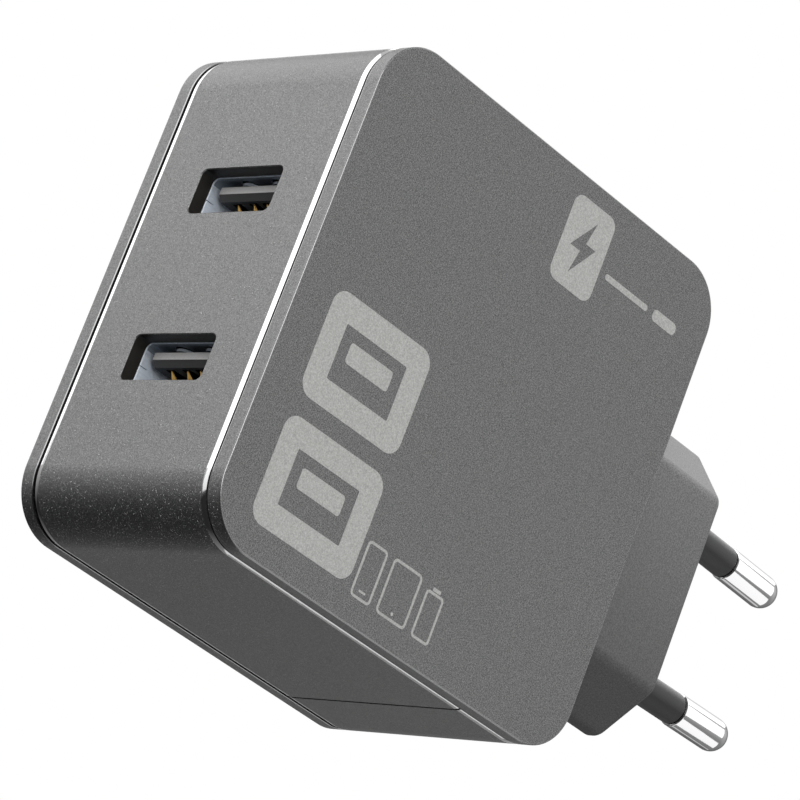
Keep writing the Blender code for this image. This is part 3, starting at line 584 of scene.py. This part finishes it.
def channel(open_y, closed_y):
    """A U of wall running across the body; the chamfers on its outer rims have material 1."""
    radius = FRONT_CORNER_RADIUS if closed_y == FRONT else CORNER_RADIUS
    inner = channel_path(open_y, closed_y, WALL, radius - WALL)
    flat = BAND_SIDE - CHAMFER_WIDTH
    rings = []
    for x, inset in ((-BAND_SIDE, CHAMFER_DEPTH), (-flat, 0.0), (flat, 0.0), (BAND_SIDE, CHAMFER_DEPTH)):
        outer = channel_path(open_y, closed_y, inset, radius - inset)
        rings.append(along("X", outer + inner[::-1], x))
    bm = bmesh.new()
    add_loft(bm, rings, looks=(1, 0, 1))
    for face in bm.faces:
        # Only the slanted strips are polished; the rim's sides and the inside are painted.
        face.normal_update()
        slanted = 0.1 < abs(face.normal.x) < 0.9
        if not slanted:
            face.material_index = 0
    return bm


def aperture_cutter(port_z):
    """Straight hole through the front wall, flared a little at the surface."""
    rings = []
    wide = APERTURE_EDGE + HAIR
    for y, grow in ((-WIDE_SPARE, wide), (-HAIR, wide), (APERTURE_EDGE, 0.0), (WALL + WIDE_SPARE, 0.0)):
        half_x, half_z = APERTURE[0] / 2 + grow, APERTURE[1] / 2 + grow
        outline = rounded_rectangle(half_x, half_z, APERTURE_RADIUS + grow, (0.0, port_z), PORT_STEPS)
        rings.append(along("Y", outline, FRONT + y))
    bm = bmesh.new()
    add_loft(bm, rings)
    return bm


def front_band():
    """The front half of the housing; the walls of its two openings are dark."""
    band = mesh_object("front_band_skin", channel(SEAM_Y - SEAM / 2, FRONT))
    carve(band, aperture_cutter(PORT_OFFSET), aperture_cutter(-PORT_OFFSET))
    for face in band.data.polygons:
        depth = face.center.y / MM - FRONT
        x, z = abs(face.center.x) / MM, abs(abs(face.center.z) / MM - PORT_OFFSET)
        inside = x < APERTURE[0] / 2 + HAIR and z < APERTURE[1] / 2 + HAIR
        if inside and APERTURE_EDGE < depth < WALL - HAIR:
            face.material_index = 2
    finish_piece(band, "band_paint", PAINT, CUT_EDGE, MOUTH, replaces=["front_band"])


def pin_matrix(side):
    """Stands a piece turned about Y in its place on the plug; side is 1 above and -1 below."""
    turn = Matrix.Rotation(-side * PIN_TILT, 4, "X")
    return Matrix.Translation((0.0, 0.0, side * PIN_SPACING / 2 * MM)) @ turn


def boss_opening():
    bm = bmesh.new()
    add_prism(bm, "Y", plug_outline(PLUG_WALL), REAR - WALL - WIDE_SPARE, -PLUG_FACE_WALL)
    return bm


def pin_hole(side):
    bm = bmesh.new()
    add_turned(bm, ((-PLUG_FACE_WALL - WIDE_SPARE, PIN_HOLE_RADIUS), (WIDE_SPARE, PIN_HOLE_RADIUS)))
    bm.transform(pin_matrix(side))
    return bm


def rear_shell():
    """The rear half of the housing, open where the plug boss stands."""
    shell = mesh_object("rear_shell_skin", channel(SEAM_Y + SEAM / 2, REAR))
    carve(shell, boss_opening())
    finish_piece(shell, "band_paint", PAINT, CUT_EDGE, replaces=["rear_housing"])


def plug_boss():
    """The matte boss that carries the pins, with a small fillet where it leaves the housing."""
    rings = [along("Y", plug_outline(0.0), REAR - WALL / 2)]
    for rise, inset in rounded_steps(PLUG_ROOT_FILLET):
        outline = plug_outline(inset - PLUG_ROOT_FILLET)
        rings.append(along("Y", outline, REAR + PLUG_ROOT_FILLET - rise))
    for fall, inset in rounded_steps(PLUG_EDGE):
        rings.append(along("Y", plug_outline(inset), -fall))
    bm = bmesh.new()
    add_loft(bm, rings)
    boss = mesh_object("plug_boss_skin", bm)
    carve(boss, boss_opening(), pin_hole(1), pin_hole(-1))
    finish_piece(boss, "plug_plastic", PLUG_PAINTED_SHADE)


def side_cover(name, side):
    """Flat lid: a bevel beside the seam, a painted rim, a narrow bright edge and a fine-grained face."""
    bevel, bevel_inset = COVER_BEVEL
    edge = [(FACE - fall, inset) for fall, inset in rounded_steps(COVER_EDGE)]
    steps = [(COVER_INNER, bevel_inset), (COVER_INNER + bevel, 0.0), *edge]
    rings = [along("X", body_outline(inset), side * x) for x, inset in steps]
    bm = bmesh.new()
    add_loft(bm, rings, looks=[3, 0] + [1] * (len(edge) - 1))
    flat = max(bm.faces, key=lambda face: side * face.calc_center_median().x)
    flat.material_index = 2
    cover = mesh_object(f"{name}_skin", bm)
    finish_piece(cover, "cover_paint", PAINT, RIM_EDGE, COVER_FACE, SEAM_EDGE, replaces=[name])


# ---------------------------------------------------------------- mains pins


def mains_pin(name, side):
    """Narrow core inside its sleeve and a full-size polished end with a round tip."""
    # The tip's arc stops short of the axis and leaves a small flat cap.
    tip = [(PIN_LENGTH - PIN_RADIUS + y, r) for y, r in arc((0.0, 0.0), PIN_RADIUS, 90, 3, 16)]
    shoulder = SLEEVE_LENGTH + PIN_SHOULDER_GAP
    profile = [
        (-PLUG_FACE_WALL, PIN_CORE_RADIUS),
        (shoulder, PIN_CORE_RADIUS),
        (shoulder, PIN_RADIUS - PIN_SHOULDER_BEVEL),
        (shoulder + PIN_SHOULDER_BEVEL / 3, PIN_RADIUS - PIN_SHOULDER_BEVEL / 3),
        (shoulder + PIN_SHOULDER_BEVEL, PIN_RADIUS),
    ]
    bm = bmesh.new()
    add_turned(bm, profile + tip)
    bm.transform(pin_matrix(side))
    pin = mesh_object(f"{name}_polished", bm)
    finish_piece(pin, "pin_nickel", CHROME, replaces=[name])


def pin_sleeve(name, side):
    """Insulating tube with a softly rounded end."""
    back = -PLUG_FACE_WALL
    steps = rounded_steps(SLEEVE_EDGE, 4)
    round_end = [(SLEEVE_LENGTH - fall, SLEEVE_RADIUS - inset) for fall, inset in steps]
    profile = [(back, SLEEVE_RADIUS), *round_end, (SLEEVE_LENGTH, SLEEVE_BORE), (back, SLEEVE_BORE)]
    bm = bmesh.new()
    add_turned(bm, profile, closed=True)
    bm.transform(pin_matrix(side))
    sleeve = mesh_object(f"{name}_moulded", bm)
    finish_piece(sleeve, "sleeve_plastic", SLEEVE, replaces=[name])


# ---------------------------------------------------------------- USB receptacles


def tab_slot(port_z, x, side):
    """The U-shaped slot round a spring tab whose free end is half round and points forwards."""
    inside, outside = TAB_RADIUS, TAB_RADIUS + TAB_SLOT
    start = TAB_START + outside
    end = start + TAB_LENGTH
    outline = [(x - outside, end), *arc((x, start), outside, 180, 360, TAB_STEPS), (x + outside, end)]
    outline += [(x + inside, end), *arc((x, start), inside, 360, 180, TAB_STEPS), (x - inside, end)]
    low = port_z + side * (SHELL_INNER[1] / 2 - SPARE)
    bm = bmesh.new()
    add_prism(bm, "Z", outline, low, low + side * (SHELL_SHEET + 2 * SPARE))
    return bm


def wall_slit(port_z, side):
    """The seam of the folded sheet, a short slit back from the mouth in the side wall."""
    near = side * (SHELL_INNER[0] / 2 - SPARE)
    far = side * (SHELL_INNER[0] / 2 + SHELL_SHEET + SPARE)
    low = (min(near, far), SHELL_FRONT - SPARE, port_z - SLIT_WIDTH / 2)
    high = (max(near, far), SHELL_FRONT + SLIT_LENGTH, port_z + SLIT_WIDTH / 2)
    bm = bmesh.new()
    add_box(bm, low, high)
    return bm


def bend_tabs(mesh, port_z):
    """Presses each spring tab into the port, most at its free end."""
    outside = TAB_RADIUS + TAB_SLOT / 2
    length = TAB_LENGTH + TAB_RADIUS
    round_end = TAB_START + TAB_RADIUS + TAB_SLOT
    for vertex in mesh.vertices:
        x, y, z = (value / MM for value in vertex.co)
        level = z - port_z
        across = abs(abs(x) - TAB_OFFSET)
        in_wall = abs(level) > SHELL_INNER[1] / 2 - HAIR
        in_outline = math.hypot(across, min(y - round_end, 0.0)) < outside
        if in_wall and in_outline and TAB_START < y < TAB_START + length:
            share = 1 - (y - TAB_START) / length
            vertex.co.z -= math.copysign(TAB_DIP * share**1.5 * MM, level)


def shell_ring(port_z, offset, y):
    """The outline of the shell at this depth; offset 0 is the inside of the sheet."""
    half_x, half_z = SHELL_INNER[0] / 2 + offset, SHELL_INNER[1] / 2 + offset
    outline = rounded_rectangle(half_x, half_z, SHELL_RADIUS + offset, (0.0, port_z), PORT_STEPS)
    return along("Y", outline, y)


def usb_shell(name, port_z):
    """Folded sheet-metal tube with a rounded mouth, four spring tabs and its side seams."""
    half_sheet = SHELL_SHEET / 2
    lip = arc((half_sheet, SHELL_FRONT + half_sheet), half_sheet, 0, -180, 6)
    profile = [*lip, (0.0, SHELL_REAR), (SHELL_SHEET, SHELL_REAR)]
    bm = bmesh.new()
    add_loft(bm, [shell_ring(port_z, offset, y) for offset, y in profile], closed=True)
    shell = mesh_object(f"{name}_folded", bm)
    slots = [tab_slot(port_z, x, side) for x in (-TAB_OFFSET, TAB_OFFSET) for side in (1, -1)]
    carve(shell, *slots, wall_slit(port_z, 1), wall_slit(port_z, -1))
    bend_tabs(shell.data, port_z)
    # Faces that look down inside the upper half of the shell get the darker steel: painted shade.
    for face in shell.data.polygons:
        behind_lip = face.center.y / MM > SHELL_FRONT + SHELL_SHEET
        faces_down = face.normal.z < -0.05
        if behind_lip and faces_down and face.center.z / MM > port_z:
            face.material_index = 1
    finish_piece(shell, "shell_steel", STEEL, STEEL_ROOF_PAINTED_SHADE, replaces=[name])


def tongue_body(port_z):
    """Bar with a rounded upper front edge, a slanted lower front and a small bevel down each side."""
    reach, middle = TONGUE_ROUNDING
    # The bar's back end is buried in the block.
    back = BLOCK_FRONT + 1.0
    profile = [
        (TONGUE_FRONT, TONGUE_LOW + TONGUE_NOSE),
        (TONGUE_FRONT, TONGUE_HIGH - reach),
        (TONGUE_FRONT + middle, TONGUE_HIGH - middle),
        (TONGUE_FRONT + reach, TONGUE_HIGH),
        (back, TONGUE_HIGH),
        (back, TONGUE_LOW),
        (TONGUE_FRONT + TONGUE_NOSE, TONGUE_LOW),
    ]
    outline = [(y, port_z + z) for y, z in profile]
    shrunk = [(y + (TONGUE_SIDE_BEVEL if y < back else 0), z) for y, z in outline]
    half = TONGUE_WIDTH / 2
    flat = half - TONGUE_SIDE_BEVEL
    sections = ((shrunk, -half), (outline, -flat), (outline, flat), (shrunk, half))
    bm = bmesh.new()
    add_loft(bm, [along("X", points, x) for points, x in sections])
    return bm


def insulator_block(port_z):
    half_x, half_z = SHELL_INNER[0] / 2 - BLOCK_GAP, SHELL_INNER[1] / 2 - BLOCK_GAP
    outline = rounded_rectangle(half_x, half_z, SHELL_RADIUS, (0.0, port_z), PORT_STEPS)
    bm = bmesh.new()
    add_prism(bm, "Y", outline, BLOCK_FRONT, BLOCK_REAR)
    return bm


def contact_grooves(port_z):
    """One box for each contact, open below and running a little into the block."""
    half = GROOVE_WIDTH / 2
    bm = bmesh.new()
    for x in CONTACT_PLACES:
        low = (x - half, GROOVE_START, port_z + TONGUE_LOW - WIDE_SPARE)
        high = (x + half, GROOVE_END, port_z + GROOVE_TOP)
        add_box(bm, low, high)
    return bm


def usb_tongue(name, port_z):
    """Tongue and insulator block in one piece; painted shade makes the underside and the inside of the
    port dark, and the slanted nose darker grey.
    """
    tongue = mesh_object(f"{name}_moulded", tongue_body(port_z))
    combine(tongue, "UNION", insulator_block(port_z))
    carve(tongue, contact_grooves(port_z))
    for face in tongue.data.polygons:
        underside = face.normal.z < -0.9
        slant = face.normal.z < -0.5
        # Faces that look down, and everything deeper in the port, get the near-black copy of the plastic:
        # painted shade.
        if underside or face.center.y / MM > TONGUE_PAINTED_SHADE_FROM:
            face.material_index = 2
        # The slanted lower front gets the dark copy of the tongue plastic: painted shade.
        elif slant:
            face.material_index = 1
    finish_piece(tongue, "tongue_plastic", TONGUE, TONGUE_NOSE_PAINTED_SHADE, TONGUE_UNDERSIDE_PAINTED_SHADE, replaces=[name])


def smooth_route(points, steps):
    """Points along a Catmull-Rom curve through the route's own points."""
    ends = [Vector(point) for point in points]
    ends = [2 * ends[0] - ends[1], *ends, 2 * ends[-1] - ends[-2]]
    route = []
    for i in range(1, len(ends) - 2):
        a, b, c, d = ends[i - 1 : i + 3]
        for k in range(steps):
            t = k / steps
            square = (2 * a - 5 * b + 4 * c - d) * t**2
            cube = (3 * b - a - 3 * c + d) * t**3
            route.append(0.5 * (2 * b + (c - a) * t + square + cube))
    route.append(ends[-2])
    return route


# Spring line of a contact from its root to its tip: distance behind the front face, height, half width
CONTACT_LINE = (
    (10.45, 0.475, CONTACT_WIDTH / 2),
    (8.4, 0.36, CONTACT_WIDTH / 2),
    (6.0, -0.4, CONTACT_WIDTH / 2),
    (5.4, -0.52, CONTACT_WIDTH / 2),
    (4.9, -0.4, CONTACT_WIDTH / 2),
    (3.95, 0.5, CONTACT_TIP_WIDTH / 2),
)


def usb_contact(port, port_z, number, x):
    """Gold spring strip with rounded bends and a tapered tip that rises into the tongue."""
    route = smooth_route(CONTACT_LINE, 6)
    rings = []
    for i, here in enumerate(route):
        ahead = route[min(i + 1, len(route) - 1)] - route[max(i - 1, 0)]
        across = Vector((-ahead.y, ahead.x)).normalized() * CONTACT_SHEET / 2
        corners = []
        for side, face in ((-1, -1), (1, -1), (1, 1), (-1, 1)):
            y, z = here.x + face * across.x, here.y + face * across.y
            corners.append((x + side * here.z, FRONT + y, port_z + z))
        rings.append(corners)
    bm = bmesh.new()
    add_loft(bm, rings)
    bmesh.ops.bevel(
        bm, geom=bm.edges[:], offset=CONTACT_BEVEL * MM, segments=2, profile=0.5, affect="EDGES"
    )
    contact = mesh_object(f"contact_spring_{port}_{number}", bm)
    node_name = f"usb_contact_{port}_{number}"
    finish_piece(contact, "contact_gold", GOLD, body=f"{port}_port_contacts", replaces=[node_name])


# ---------------------------------------------------------------- print on the right-hand face


# Places are the middle of a mark in Y and Z, and a size is half of its length and height.
PRINT_TOP = FACE + 0.02
PRINT_BOTTOM = FACE - 0.02
PRINT_STEPS = 12
SMALLEST_RADIUS = 0.15
PORT_SYMBOL_SIZE = (7.6, 6.0)
PORT_SYMBOL_STROKE = 2.9
PORT_SYMBOL_PLACES = {"upper": (-62.7, -5.0), "lower": (-62.7, -19.2)}
PHONE_PLACE = (-52.9, -22.8)
TABLET_PLACE = (-48.1, -22.8)
BATTERY_PLACE = (-43.4, -23.2)
DEVICE_STROKE = 0.3
POWER_PLACE = (-41.05, 21.55)
POWER_SIZE = (3.45, 5.05)
BOLT = ((0.9, 3.4), (-1.9, -0.5), (-0.25, -0.5), (-0.9, -3.4), (1.9, 0.6), (0.25, 0.6))
THIN_BAR_PLACE = (-32.9, 20.6)
BOLD_BAR_PLACE = (-26.2, 20.6)


def shifted(place, across, up):
    return (place[0] + across, place[1] + up)


def add_ring(bm, size, radius, stroke, place):
    """A rounded frame of even stroke, lying on the face."""
    half_y, half_z = size
    inner_radius = max(radius - stroke, SMALLEST_RADIUS)
    outer = rounded_rectangle(half_y, half_z, radius, place, PRINT_STEPS)
    inner = rounded_rectangle(half_y - stroke, half_z - stroke, inner_radius, place, PRINT_STEPS)
    rings = [
        along("X", outer, PRINT_BOTTOM),
        along("X", outer, PRINT_TOP),
        along("X", inner, PRINT_TOP),
        along("X", inner, PRINT_BOTTOM),
    ]
    add_loft(bm, rings, closed=True)


def add_pad(bm, size, radius, place):
    """A filled shape with rounded corners, lying on the face."""
    add_prism(bm, "X", rounded_rectangle(*size, radius, place, PRINT_STEPS), PRINT_BOTTOM, PRINT_TOP)


def print_mark(name, bm):
    """A finished printed mark made from the bmesh."""
    finish_piece(mesh_object(name, bm), "cover_paint", INK)


def two_ports_mark():
    """Two stacked port symbols: a frame with its tongue."""
    for number, place in PORT_SYMBOL_PLACES.items():
        bm = bmesh.new()
        add_ring(bm, PORT_SYMBOL_SIZE, 1.8, PORT_SYMBOL_STROKE, place)
        add_pad(bm, (3.3, 1.15), 0.4, shifted(place, 0, 0.6))
        print_mark(f"port_symbol_{number}", bm)


def device_marks():
    """Thin outlines of a phone and a tablet, each with its button, and of a battery with its cap."""
    bm = bmesh.new()
    add_ring(bm, (1.55, 3.1), 0.6, DEVICE_STROKE, PHONE_PLACE)
    add_pad(bm, (0.5, 0.12), 0.1, shifted(PHONE_PLACE, 0, -2.2))
    add_ring(bm, (2.3, 3.1), 0.6, DEVICE_STROKE, TABLET_PLACE)
    add_pad(bm, (0.18, 0.18), 0.17, shifted(TABLET_PLACE, 0, -2.3))
    add_ring(bm, (1.4, 2.7), 0.5, DEVICE_STROKE, BATTERY_PLACE)
    add_pad(bm, (0.6, 0.2), 0.1, shifted(BATTERY_PLACE, 0, 3.0))
    print_mark("device_symbols", bm)


def power_mark():
    """A rounded plate with a lightning bolt cut out of it."""
    bm = bmesh.new()
    add_pad(bm, POWER_SIZE, 1.3, POWER_PLACE)
    plate = mesh_object("power_symbol", bm)
    outline = [shifted(POWER_PLACE, y, z) for y, z in BOLT]
    cutter = bmesh.new()
    add_prism(cutter, "X", outline, PRINT_BOTTOM - SPARE, PRINT_TOP + SPARE)
    carve(plate, cutter)
    finish_piece(plate, "cover_paint", INK)


def caption_mark():
    """A thin bar and a bold bar beside the plate."""
    bm = bmesh.new()
    add_pad(bm, (3.7, 0.35), 0.34, THIN_BAR_PLACE)
    add_pad(bm, (2.0, 0.7), 0.6, BOLD_BAR_PLACE)
    print_mark("caption_bars", bm)


# ---------------------------------------------------------------- camera, lights and floor


def studio_camera():
    """The photo's view, from the front right and a little below, with the camera rolled."""
    target = Vector((0.0019, -0.0457, 0.00079))
    forward = Vector((-0.72054, 0.61437, 0.32151)).normalized()
    distance = 0.4759
    roll = math.radians(20.915)
    data = bpy.data.cameras.new("camera")
    data.lens = 201.54
    data.sensor_width = 36.0
    data.clip_start = 0.01
    camera = bpy.data.objects.new("camera", data)
    camera.location = target - forward * distance
    camera.rotation_mode = "QUATERNION"
    camera.rotation_quaternion = forward.to_track_quat("-Z", "Y") @ Quaternion((0, 0, 1), roll)
    bpy.context.scene.collection.objects.link(camera)
    bpy.context.scene.camera = camera


LIGHT_CENTRE = Vector((0.0, -0.045, 0.0))
LIGHT_DISTANCE = 0.9
REAR_SLANT = math.radians(38)
SKY_STRENGTH = 0.5
LOW_FRONT_STRENGTH = 0.02
LOW_REAR_STRENGTH = 0.22


def softbox(name, direction, size, radiance, width_axis=None):
    """Rectangular light of the given radiance, facing the charger from that direction."""
    data = bpy.data.lights.new(name, "AREA")
    data.shape = "RECTANGLE"
    data.size, data.size_y = size
    data.energy = radiance * math.pi * size[0] * size[1]
    away = Vector(direction).normalized()
    across = Vector(width_axis) if width_axis else Vector((0, 0, 1)).cross(away)
    across = (across - away * across.dot(away)).normalized()
    turn = Matrix((across, away.cross(across), away)).transposed()
    light = bpy.data.objects.new(name, data)
    light.matrix_world = Matrix.Translation(LIGHT_CENTRE + away * LIGHT_DISTANCE) @ turn.to_4x4()
    light.visible_camera = False
    bpy.context.scene.collection.objects.link(light)


def rear_softbox(name, first, last, depth, radiance):
    """Softbox behind the charger that spans an arc round the Y axis, between two angles in degrees."""
    middle = math.radians((first + last) / 2)
    half = math.radians(last - first) / 2
    reach = math.cos(REAR_SLANT)
    direction = (reach * math.cos(middle), math.sin(REAR_SLANT), reach * math.sin(middle))
    length = 2 * LIGHT_DISTANCE * reach * math.tan(half)
    softbox(name, direction, (length, depth), radiance, (-math.sin(middle), 0.0, math.cos(middle)))


def mixed_value(tree, share, source, value):
    """The source's value where the share is 0 and the plain value where it is 1."""
    made = tree.nodes.new("ShaderNodeMix")
    made.data_type = "FLOAT"
    # A number Mix node has its numbers on the sockets numbered 2 and 3.
    tree.links.new(share, made.inputs["Factor"])
    tree.links.new(source, made.inputs[2])
    made.inputs[3].default_value = value
    return made.outputs[0]


def studio_world():
    """White behind the object; as light, bright above and dark in front below."""
    world = bpy.data.worlds.new("studio")
    bpy.context.scene.world = world
    world.use_nodes = True
    tree = world.node_tree
    background = tree.nodes["Background"]
    place = tree.nodes.new("ShaderNodeTexCoord")
    parts = tree.nodes.new("ShaderNodeSeparateXYZ")
    tree.links.new(place.outputs["Generated"], parts.inputs["Vector"])
    low = ranged(tree, parts.outputs["Y"], LOW_FRONT_STRENGTH, LOW_REAR_STRENGTH, -0.1, 0.6)
    rise = ranged(tree, parts.outputs["Z"], 0.0, 1.0, -0.35, 0.35)
    light = mixed_value(tree, rise, low, SKY_STRENGTH)
    seen = tree.nodes.new("ShaderNodeLightPath").outputs["Is Camera Ray"]
    tree.links.new(mixed_value(tree, seen, light, 1.0), background.inputs["Strength"])
    background.inputs["Color"].default_value = (1.0, 1.0, 1.0, 1.0)


def studio_lights():
    softbox("front_left_box", (-0.617, -0.52, 0.592), (1.6, 0.69), 1.03)
    softbox("front_low_card", (-0.53, -0.83, 0.0), (0.3, 0.5), 0.68)
    softbox("front_right_box", (0.86, -0.44, 0.24), (0.7, 0.6), 3.2)
    softbox("low_back_card", (-0.52, 0.60, -0.60), (0.3, 0.3), 0.45)
    rear_softbox("rear_right_box", -14, 62, 0.4, 0.82)
    rear_softbox("rear_low_box", -111, -29, 0.4, 0.8)
    rear_softbox("overhead_box", 66, 156, 0.5, 1.4)


def studio_floor():
    """Pale floor well below the object."""
    half, level = 3.0, -0.5
    surface = vary(look("pale_floor", (0.88, 0.88, 0.87), 0.8), size=8.0, colour=0.015, roughness=0.05)
    bm = bmesh.new()
    corners = ((-half, -half), (half, -half), (half, half), (-half, half))
    bm.faces.new([bm.verts.new((x, y, level)) for x, y in corners])
    floor = mesh_object("floor", bm)
    floor.data.materials.append(surface)
    floor.visible_glossy = False
    floor.visible_diffuse = False


def main():
    bpy.context.scene.view_settings.view_transform = "Standard"
    dress_inside(frame["record"])
    front_band()
    rear_shell()
    plug_boss()
    side_cover("right_side_cover", 1)
    side_cover("left_side_cover", -1)
    for port, side in (("upper", 1), ("lower", -1)):
        mains_pin(f"pin_{port}", side)
        pin_sleeve(f"pin_sleeve_{port}", side)
        port_z = side * PORT_OFFSET
        usb_shell(f"usb_shell_{port}", port_z)
        usb_tongue(f"usb_tongue_{port}", port_z)
        for number, x in enumerate(CONTACT_PLACES, 1):
            usb_contact(port, port_z, number, x)
    two_ports_mark()
    device_marks()
    power_mark()
    caption_mark()
    studio_camera()
    studio_world()
    studio_lights()
    studio_floor()


main()
